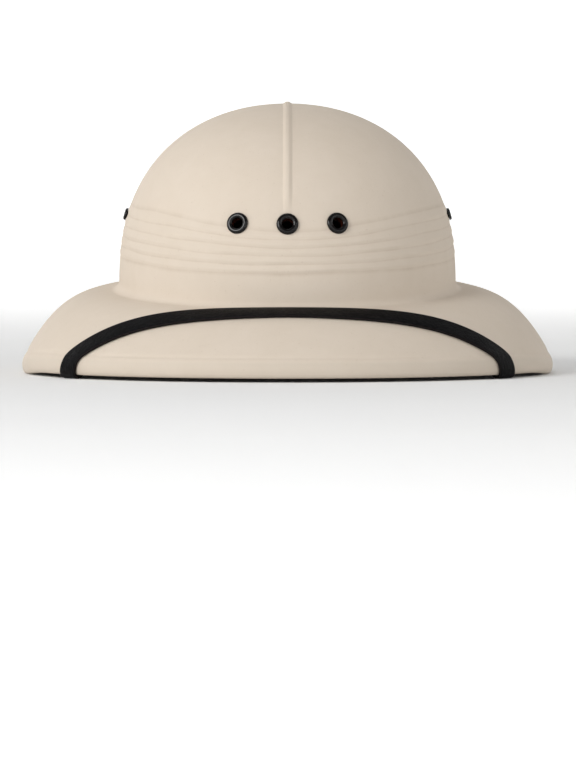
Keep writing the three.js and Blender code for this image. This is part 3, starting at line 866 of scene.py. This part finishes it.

# %% [markdown]
# ## The shell's finish
#
# The fibre is painted a matt tan. Close to, the paint is finely pebbled, faintly speckled and
# blotched by age, and the steps of the folds are darker with dust and painted shade. The rolled lip is
# rubbed greyer.
# Inside the crown the fibre is bare, dark brown and blotched, and painted shade darkens the underside
# softly towards it. The masks stored with the rings say where each of these is.

# %% Mix the tan paint
TAN = {
    "deep": srgb(207, 194, 178),
    "pale": srgb(213, 201, 187),
    "clouded": srgb(196, 182, 164),
    "speck": srgb(150, 126, 102),
    "crease_dust_and_shade": srgb(164, 143, 120),
    "rubbed": srgb(192, 182, 168),
    "underside": srgb(150, 122, 92),
}
BARE = {
    "deep": srgb(58, 37, 25),
    "pale": srgb(84, 58, 40),
    "stain": srgb(44, 29, 21),
    "worn": srgb(98, 70, 50),
}

fibre, on_shell = start_finish("tan fibre", {"Specular IOR Level": 0.28})
blotch = noise(on_shell, size=38, detail=4, rough=0.6)
cloud = noise(on_shell, size=9)
grain = noise(on_shell, size=0.55, rough=0.6)
pebble = cells(on_shell, size=0.8)
speck = rising(noise(on_shell, size=1.3, detail=2), 0.66, 0.74)
crease = drawn(on_shell, "crease")
lip = drawn(on_shell, "lip")
inside = drawn(on_shell, "bare_and_shade")
painted = layered(mixed(blotch, TAN["deep"], TAN["pale"]), [
    (cloud * 0.3, TAN["clouded"]),
    (speck * 0.14, TAN["speck"]),
    # the steps of the folds are painted darker: dust, and painted shade in the creases
    (crease * cloud * 0.35, TAN["crease_dust_and_shade"]),
    (lip * (0.2 + grain * 0.2), TAN["rubbed"]),
    # painted shade: the underside turns darker brown towards the crown
    (rising(inside, 0.0, 0.62) * 0.5, TAN["underside"]),
])
bare = layered(mixed(grain, BARE["deep"], BARE["pale"]), [
    (rising(blotch, 0.4, 0.65) * 0.6, BARE["stain"]),
    (rising(cloud, 0.52, 0.7) * 0.4, BARE["worn"]),
])
swelling = bumped(cloud, depth=0.35, strength=0.4)
feed(fibre, {
    "Base Color": mixed(rising(inside, 0.5, 0.85), painted, bare),
    "Roughness": 0.74 + grain * 0.16 - lip * 0.1,
    "Normal": bumped(pebble * 0.5 + grain, depth=0.05, strength=0.6, under=swelling),
})
settle(shell, "shell", fibre)
print("shell finish nodes:", len(fibre.node_tree.nodes))

# %% [markdown]
# ## The eyelets
#
# An eyelet is a thin metal ring, rolled over outside and flared inside, and lacquered black. A
# lathe profile turned round its axis gives the true section, and the rolled edge catches the
# light in a round highlight. The profile runs round the wall in one closed loop: over the roll,
# down the throat, round the inner lip and back up the barrel. Its sizes are in millimetres too.

# %% Turn the eyelets
VENT_GRIP = 3.9
VENT_INNER_RIM = 0.8
VENT_INNER_REACH = 1.2
ROLL_POINTS = 18
ROLL_FULLNESS = 0.8
THROAT_BEND = 0.4
THROAT_SPREAD = 1.12
THROAT_TOP = 0.6
SEAT_EASE = 0.05
INNER_LIP = [
    {"from": "hole", "out": 0.0, "deep": 0.3},
    {"from": "hole", "out": 0.25, "deep": 0.8},
    {"from": "hole", "out": 0.7, "deep": 1.0},
    {"from": "flare", "out": -0.3, "deep": 0.9},
    {"from": "flare", "out": 0.0, "deep": 0.5},
    {"from": "flare", "out": -0.2, "deep": 0.1},
    {"from": "flare", "out": -0.5, "deep": 0.0},
]


def eyelet_profile(size):
    """The section, as (radius, height) points in a closed loop."""
    seat, flange, hole, barrel = size["seat"], size["flange"], size["hole"], size["barrel"]
    start = {"hole": hole, "flare": barrel + VENT_INNER_REACH}
    middle, half = (flange + hole) / 2, (flange - hole) / 2
    profile = []
    for turn in np.linspace(0, math.pi, ROLL_POINTS):
        swell = size["rise"] * math.sin(turn) ** ROLL_FULLNESS
        profile.append((middle + half * math.cos(turn), seat + swell))
    profile.append((hole, -THROAT_BEND * VENT_GRIP))
    for row in INNER_LIP:
        profile.append((start[row["from"]] + row["out"], -VENT_GRIP - row["deep"] * VENT_INNER_RIM))
    profile += [(barrel, -VENT_GRIP), (barrel, seat - SEAT_EASE), (barrel + 2 * SEAT_EASE, seat)]
    return np.array(profile)


def make_eyelet(vent):
    """The profile turned round its axis and set into the wall, with a mask for the throat."""
    profile = eyelet_profile(vent["size"])
    spin = 2 * math.pi * np.arange(VENT_SIDES) / VENT_SIDES
    radius, height = profile[:, 0][None], profile[:, 1][None]
    deep = (radius < vent["size"]["hole"] * THROAT_SPREAD) & (height < THROAT_TOP)
    turned = stacked(radius * np.cos(spin)[:, None], radius * np.sin(spin)[:, None], height) * MM
    piece = skin(vent["node"].replace("vent", "eyelet"), turned, loop=True, masks={"throat": deep * 1.0})
    piece.data.transform(vent_place(vent))
    return piece


print("points in an eyelet's section:", len(eyelet_profile(FRONT_EYELET)))

# %% Lacquer the eyelets
LACQUER = {
    "deep": srgb(4, 3, 3),
    "pale": srgb(11, 7, 7),
    "scuffed": srgb(72, 40, 28),
    "throat": srgb(74, 34, 22),
}

lacquer, on_eyelet = start_finish("black lacquer", {"Coat Roughness": 0.03, "Specular IOR Level": 0.04})
smudge = noise(on_eyelet, size=3, detail=4)
scuff = rising(noise(on_eyelet, size=0.9, detail=4, rough=0.7), 0.66, 0.73)
throat = drawn(on_eyelet, "throat")
lacquered = layered(mixed(smudge, LACQUER["deep"], LACQUER["pale"]), [
    (scuff * 0.4, LACQUER["scuffed"]),
    (throat * (0.35 + smudge * 0.5), LACQUER["throat"]),
])
feed(lacquer, {
    "Base Color": lacquered,
    "Roughness": 0.25 + smudge * 0.14 + scuff * 0.25 + throat * 0.2,
    "Metallic": scuff * 0.5,
    "Coat Weight": 0.5 - scuff * 0.4,
    "Normal": bumped(smudge, depth=0.05, strength=0.25),
})
for vent in VENTS:
    settle(make_eyelet(vent), vent["node"], lacquer)
print("eyelets:", [vent["node"] for vent in VENTS])

# %% [markdown]
# ## The chin strap
#
# The strap is a flat leather loop. It lies over the front of the brim close to the crown, runs out
# to the rim on both sides, turns under it on a slant and goes up inside the crown, where its ends
# are held. The strap is laid by walking across the shell's surface from a middle line, so it hugs
# the brim over its whole width. It moves outwards in a slow part all along the brim and a fast part
# near the rim. Where it leaves the rim is given in millimetres, as the rolled rim is. The strap's
# section has rounded, burnished edges.

# %% The surfaces the strap lies on
STRAP_TOUCH_BEND = math.radians(43)
GUIDE_SCALE = 100 * MM
GUIDE_POINTS = 400
ROLL_ROWS_UNDER_STRAP = 5
STRAP_LEAVES_ROLL = [(-4.2, 0.0), (-5.5, 0.6), (-9.0, 3.1), (-14.0, 6.8), (-30.0, 18.6)]

guide_rows = [tuple(value / MM for value in RIM_SHOULDER)]
guide_rows += RIM_ROLL[:ROLL_ROWS_UNDER_STRAP] + STRAP_LEAVES_ROLL
roll_guide = smooth_line(guide_rows, GUIDE_POINTS) * MM
roll_lengths = np.append(0, np.cumsum(np.linalg.norm(np.diff(roll_guide, axis=0), axis=1)))
corner_arc = (BASE_FILLET + WALL) * STRAP_TOUCH_BEND


def outside_guide(angle, place):
    """The brim up to place 1, then round the rolled rim and straight off it inwards."""
    length = np.maximum(place - 1, 0) * GUIDE_SCALE
    out = np.interp(length, roll_lengths, roll_guide[:, 0])
    up = np.interp(length, roll_lengths, roll_guide[:, 1])
    on_roll = rim_point(angle, out, up + rim_lift(angle))
    on_brim = brim_point(angle, np.clip(place, 0, 1))
    return np.where((place <= 1)[..., None], on_brim, on_roll)


def inside_guide(angle, place):
    """Straight in to the inner corner below 0, then round it and up the wall."""
    length = place * GUIDE_SCALE
    touch_turn = np.full(angle.shape, STRAP_TOUCH_BEND / (math.pi / 2))
    touch = fillet_point(angle, touch_turn, WALL)
    ahead = unit(fillet_point(angle, touch_turn - SMALL_STEP, WALL) - touch)
    straight = touch + ahead * length[..., None]
    turn = touch_turn * (1 - np.clip(length / corner_arc, 0, 1))
    bend = fillet_point(angle, turn, WALL)
    wall = crown_point(angle, np.maximum(BASE_FILLET + length - corner_arc, 0), WALL)
    rounded = np.where((length < corner_arc)[..., None], bend, wall)
    return np.where((length < 0)[..., None], straight, rounded)


print("way round the rim in mm:", round(roll_lengths[-1] / MM, 1))

# %% Walk across the surfaces
STRAP_WIDTH = 13 * MM
WALK_STEPS = 6
LAY_ROUNDS = 6


def away_from(surface, a, p):
    """The way off the shell from either of the two surfaces."""
    return -normal_of(surface, a, p)


def walk(surface, angle, place, direction, distance):
    """Where one gets by walking straight over a surface, from many starts at once."""
    a, p, heading = angle, place, direction
    for _ in range(WALK_STEPS):
        along_a = (surface(a + SMALL_STEP, p) - surface(a - SMALL_STEP, p)) / (2 * SMALL_STEP)
        along_p = (surface(a, p + SMALL_STEP) - surface(a, p - SMALL_STEP)) / (2 * SMALL_STEP)
        aa = np.sum(along_a * along_a, -1)
        ap = np.sum(along_a * along_p, -1)
        pp = np.sum(along_p * along_p, -1)
        ha = np.sum(heading * along_a, -1)
        hp = np.sum(heading * along_p, -1)
        scale = distance / WALK_STEPS / (aa * pp - ap * ap)
        a = a + (ha * pp - hp * ap) * scale
        p = p + (hp * aa - ha * ap) * scale
        away = away_from(surface, a, p)
        heading = unit(heading - away * np.sum(heading * away, -1, keepdims=True))
    return a, p


def eased(rows, rounds=LAY_ROUNDS):
    """Leather doesn't follow every kink, so each row is averaged with its neighbours."""
    for _ in range(rounds):
        inner = (rows[:-2] + 2 * rows[1:-1] + rows[2:]) / 4
        rows = np.concatenate([rows[:1], inner, rows[-1:]])
    return rows


def laid(surface, angle, place, across):
    """The strap's points and outward directions on a surface, one row for each station."""
    middle = surface(angle, place)
    ahead = unit(eased(np.gradient(middle, axis=0)))
    side = unit(np.cross(away_from(surface, angle, place), ahead))
    columns = [walk(surface, angle, place, side, distance) for distance in across]
    points = np.stack([surface(a, p) for a, p in columns], 1)
    away = np.stack([away_from(surface, a, p) for a, p in columns], 1)
    return eased(points), unit(eased(away)), middle, side


print("walked at a time, mm:", round(STRAP_WIDTH / 2 / WALK_STEPS / MM, 2))

# %% Round the strap's section
STRAP_THICKNESS = 1.7 * MM
STRAP_GAP = 0.45 * MM
STRAP_EDGE_RADIUS = 0.62 * MM
STRAP_EDGE_POINTS = 5
STRAP_FACE_POINTS = 13


def strap_section():
    """A closed section with rounded edges: how far across and how high each point lies."""
    half, radius = STRAP_WIDTH / 2, STRAP_EDGE_RADIUS
    turn = np.linspace(0, math.pi / 2, STRAP_EDGE_POINTS)
    corner = [(half - radius * (1 - math.sin(t)), radius * (1 - math.cos(t))) for t in turn]
    right = corner + [(side, STRAP_THICKNESS - up) for side, up in reversed(corner)]
    left = [(-side, up) for side, up in reversed(right)]
    face = np.linspace(radius - half, half - radius, STRAP_FACE_POINTS)[1:-1]
    lower = [(side, 0.0) for side in face]
    upper = [(side, STRAP_THICKNESS) for side in reversed(face)]
    return np.array(lower + right + upper + left)


across, lifted = strap_section().T
lifted = lifted + STRAP_GAP
print("points round the strap:", len(across))

# %% Lay the strap
STRAP_BRIM_PLACE = 0.25
STRAP_SPREAD = {"slow": 0.68, "slow_power": 1.7, "fast": 0.32, "fast_power": 6}
STRAP_RIM_ANGLE = math.radians(-40)
STRAP_RIM_SLANT = 0.6
STRAP_RIM_SPAN = (2 * MM, 26 * MM)
STRAP_STATIONS = {"brim": 70, "rim": 54, "over": 300, "free": 20, "tab": 26}
PATH_ROUNDS = 160


def even_path(surface, angle, place, count):
    """The same path with its stations evenly apart and its corners eased."""
    steps = np.linalg.norm(np.diff(surface(angle, place), axis=0), axis=1)
    length = np.append(0, np.cumsum(steps))
    even = np.linspace(0, length[-1], count)
    return [eased(np.interp(even, length, row), PATH_ROUNDS) for row in (angle, place)]


def strap_rings(points, away):
    """The section's points, each raised off the surface by its own height."""
    return points + away * lifted[None, :, None]


brim_turn = np.sin(np.linspace(0, math.pi / 2, STRAP_STATIONS["brim"]))
spread = STRAP_SPREAD["slow"] * brim_turn ** STRAP_SPREAD["slow_power"]
spread = spread + STRAP_SPREAD["fast"] * brim_turn ** STRAP_SPREAD["fast_power"]
rim_length = np.linspace(*STRAP_RIM_SPAN, STRAP_STATIONS["rim"])
over_angle = np.append(
    FRONT + (STRAP_RIM_ANGLE - FRONT) * brim_turn,
    STRAP_RIM_ANGLE + (rim_length - rim_length[0]) * STRAP_RIM_SLANT / RIM_HALF_LENGTH,
)
on_brim = STRAP_BRIM_PLACE + (1 - STRAP_BRIM_PLACE) * spread
over_place = np.append(on_brim, 1 + rim_length / GUIDE_SCALE)
over_path = even_path(outside_guide, over_angle, over_place, STRAP_STATIONS["over"])
over_points, over_away, over_middle, over_side = laid(outside_guide, *over_path, across)
print("laid over the brim and the rim:", len(over_points), "stations")

# %% Hang the strap's free stretches and tabs
STRAP_TAB_ANGLE = math.radians(-18)
STRAP_TAB_SLANT = 0.9
STRAP_TAB_SPAN = (-10 * MM, 13 * MM)

tab_length = np.linspace(*STRAP_TAB_SPAN, STRAP_STATIONS["tab"])
tab_angle = STRAP_TAB_ANGLE + (tab_length - tab_length[0]) * STRAP_TAB_SLANT / CROWN_HALF_LENGTH
tab_points, tab_away, tab_middle, tab_side = laid(inside_guide, tab_angle, tab_length / GUIDE_SCALE, across)

free_share = np.linspace(0, 1, STRAP_STATIONS["free"] + 2)[1:-1, None]
free_run = tab_middle[0] - over_middle[-1]
free_middle = over_middle[-1] + free_run * free_share
free_side = unit(over_side[-1] + (tab_side[0] - over_side[-1]) * free_share)
free_away = unit(np.cross(unit(free_run), free_side))
free_points = free_middle[:, None] + free_side[:, None] * across[None, :, None]
right_half = np.concatenate([
    strap_rings(over_points, over_away),
    strap_rings(free_points, np.repeat(free_away[:, None], len(across), 1)),
    strap_rings(tab_points, tab_away),
])
left_half = right_half[1:][::-1] * (-1, 1, 1)
strap_points = np.concatenate([left_half, right_half])
strap_middle = strap_points.mean(1)
strap_length = np.linalg.norm(np.diff(strap_middle, axis=0), axis=1).sum()
edge_mask = soft_step(np.abs(across), STRAP_WIDTH / 2 - STRAP_EDGE_RADIUS, STRAP_WIDTH / 2)
strap = skin("leather_strap", strap_points, strap_middle[[0, -1]], masks={"edge": edge_mask[None]})
print("strap length in mm:", round(strap_length / MM), "faces:", len(strap.data.polygons))

# %% [markdown]
# ## The strap's leather
#
# Black strap leather has a smooth, waxed face with a fine grain, and edges that wear to a dark grey.
# The grain is a bump of small cells over soft wrinkles. Handling leaves duller patches, so the
# roughness varies with a broad noise, which breaks up the sheen.

# %% Dye the strap
BLACK_DYE = {
    "deep": srgb(3, 3, 4),
    "pale": srgb(8, 7, 9),
    "wrinkled": srgb(22, 20, 23),
    "edge_wear_and_sheen": srgb(46, 41, 40),
}

strap_leather, on_strap = start_finish("black leather", {"Specular IOR Level": 0.05})
strap_pores = cells(on_strap, size=0.7)
wrinkle = noise(on_strap, size=2.2, detail=4, rough=0.6)
handling = noise(on_strap, size=14)
strap_edge = drawn(on_strap, "edge")
dyed = layered(mixed(handling, BLACK_DYE["deep"], BLACK_DYE["pale"]), [
    (rising(wrinkle, 0.48, 0.72) * 0.55, BLACK_DYE["wrinkled"]),
    (strap_edge * (0.25 + wrinkle * 0.3), BLACK_DYE["edge_wear_and_sheen"]),
])
wrinkled = bumped(wrinkle, depth=0.45, strength=0.7)
feed(strap_leather, {
    "Base Color": dyed,
    "Roughness": 0.3 + handling * 0.3 + strap_edge * 0.15 + strap_pores * 0.1,
    "Normal": bumped(strap_pores, depth=0.16, strength=0.8, under=wrinkled),
})
settle(strap, "chin_strap", strap_leather)
print("strap finish nodes:", len(strap_leather.node_tree.nodes))

# %% [markdown]
# ## The headband and its leather
#
# A black band hangs inside the crown on small posts, so that air passes between it and the shell. A
# narrower strip of brown leather covers its inner face. Both follow the crown's oval and spread a
# little below it. Rounded edges are part of the section, because a sharp edge would look like cut
# sheet metal.

# %% Bend the two bands
BAND_BELOW = -16 * MM
BAND_ABOVE = 13 * MM
BAND_CLEARANCE = 2.7 * MM
BAND_FLARE = 2.2 * MM
BAND_FLARE_POWER = 1.5
BAND_WALL = 1.4 * MM
LEATHER_WALL = 1.3 * MM
LEATHER_MARGIN = 4.8 * MM
BAND_AROUND = 360
BAND_ROWS = 14
BAND_EDGE_POINTS = 9
band_angles = 2 * math.pi * np.arange(BAND_AROUND) / BAND_AROUND


def band_point(angle, inset, up):
    """A point of a band: so far in from the crown's inner wall, and so high over the crown's base."""
    share = dome_share(np.maximum(up, 0), CROWN_HEIGHT - WALL)
    low = np.clip(up / BAND_BELOW, 0, 1)
    out = BAND_FLARE * low**BAND_FLARE_POWER - WALL - inset
    x, y = oval(angle, CROWN_HALF_WIDTH + out, CROWN_HALF_LENGTH + out, CROWN_ROUNDNESS)
    return from_crown(x * share, y * share, up)


def band_section(inset, wall, below, above):
    """A closed section with rounded edges, as (inset, height) rows."""
    radius = wall / 2
    turns = np.linspace(0, math.pi, BAND_EDGE_POINTS)
    low = [(inset + radius * (1 - math.cos(t)), below + radius * (1 - math.sin(t))) for t in turns]
    high = [(inset + radius * (1 + math.cos(t)), above - radius * (1 - math.sin(t))) for t in turns]
    heights = np.linspace(below + radius, above - radius, BAND_ROWS)[1:-1]
    inner_face = [(inset + wall, up) for up in heights]
    outer_face = [(inset, up) for up in heights[::-1]]
    return np.array(low + inner_face + high + outer_face)


def make_band(name, inset, wall, below, above):
    """A band through the section's points, with masks for its lower edge and for both edges."""
    section = band_section(inset, wall, below, above)
    hoops = np.array([band_point(band_angles, depth, up) for depth, up in section])
    heights = section[:, 1]
    low_edge = 1 - soft_step(heights, below, below + wall)
    high_edge = soft_step(heights, above - wall, above)
    masks = {"low_edge": low_edge[:, None], "edge": np.maximum(low_edge, high_edge)[:, None]}
    return skin(name, hoops, loop=True, masks=masks)


headband = make_band("hung_headband", BAND_CLEARANCE, BAND_WALL, BAND_BELOW, BAND_ABOVE)
leather_inset = BAND_CLEARANCE + BAND_WALL + PIECE_GAP
leather_heights = (BAND_BELOW + LEATHER_MARGIN, BAND_ABOVE - LEATHER_MARGIN)
sweatband = make_band("brow_leather", leather_inset, LEATHER_WALL, *leather_heights)
print("band faces:", len(headband.data.polygons), len(sweatband.data.polygons))

# %% Finish the band
SATIN = {
    "deep": srgb(19, 17, 17),
    "pale": srgb(31, 28, 28),
    # the band's light grey is a painted sheen along its lower edge
    "edge_wear_and_sheen": srgb(118, 112, 106),
}

band_black, on_band = start_finish("satin black band", {"Specular IOR Level": 0.45})
weave = noise(stretched(on_band, z=0.25), size=0.5)
rub_and_sheen = noise(on_band, size=11, detail=4)
low_edge = drawn(on_band, "low_edge")
satin = mixed(rub_and_sheen, SATIN["deep"], SATIN["pale"])
feed(band_black, {
    # The lower edge is painted a lighter grey: a painted sheen where it would catch the light.
    "Base Color": mixed(low_edge * (0.5 + rub_and_sheen * 0.4), satin, SATIN["edge_wear_and_sheen"]),
    "Roughness": 0.42 + rub_and_sheen * 0.2 + low_edge * 0.15,
    "Normal": bumped(weave, depth=0.06, strength=0.5),
})
settle(headband, "headband", band_black)
print("band finish nodes:", len(band_black.node_tree.nodes))

# %% Finish the brow leather
BROWN_HIDE = {
    "deep": srgb(84, 58, 39),
    "pale": srgb(118, 87, 61),
    "creased": srgb(136, 104, 76),
    "pores": srgb(60, 40, 27),
    "edge": srgb(50, 33, 23),
}

brow_leather, on_brow = start_finish("brown leather", {"Specular IOR Level": 0.4})
brow_pores = cells(on_brow, size=0.9)
hide = noise(on_brow, size=2.4, detail=4, rough=0.6)
wear = noise(stretched(on_brow, z=0.35), size=16, detail=4)
brow_edge = drawn(on_brow, "edge")
brown = layered(mixed(wear, BROWN_HIDE["deep"], BROWN_HIDE["pale"]), [
    (rising(hide, 0.45, 0.75) * 0.35, BROWN_HIDE["creased"]),
    (rising(1 - brow_pores, 0.75, 0.98) * 0.4, BROWN_HIDE["pores"]),
    (brow_edge * 0.7, BROWN_HIDE["edge"]),
])
creased_hide = bumped(hide, depth=0.25, strength=0.5)
feed(brow_leather, {
    "Base Color": brown,
    "Roughness": 0.52 + hide * 0.2 - wear * 0.12,
    "Normal": bumped(brow_pores, depth=0.09, strength=0.5, under=creased_hide),
})
settle(sweatband, "sweatband", brow_leather)
print("brow leather finish nodes:", len(brow_leather.node_tree.nodes))

# %% [markdown]
# ## The posts
#
# Four short posts stand between the crown and the headband. They are hidden when the helmet is
# seen from the front, and plain. Their solids already have the right shape, so they stay and only
# get the finish of turned wood: dark streaks of grain over bands of growth.

# %% Finish the posts
POSTS = ["band_post_front", "band_post_back", "band_post_left", "band_post_right"]
WOOD = {"deep": srgb(84, 60, 40), "pale": srgb(132, 99, 67), "streak": srgb(66, 45, 29)}

post_wood, on_post = start_finish("turned wood", {"Specular IOR Level": 0.35})
grain_line = noise(stretched(on_post, z=0.2), size=1.1, detail=4, rough=0.6)
growth = noise(stretched(on_post, x=0.4, y=0.4, z=1.6), size=2.6)
wood = mixed(growth, WOOD["deep"], WOOD["pale"])
feed(post_wood, {
    "Base Color": mixed(rising(grain_line, 0.5, 0.75) * 0.6, wood, WOOD["streak"]),
    "Roughness": 0.6 + grain_line * 0.2,
    "Normal": bumped(grain_line, depth=0.08, strength=0.5),
})
for name in POSTS:
    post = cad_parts[name]
    post.data.materials.clear()
    post.data.materials.append(post_wood)
print("posts:", POSTS)
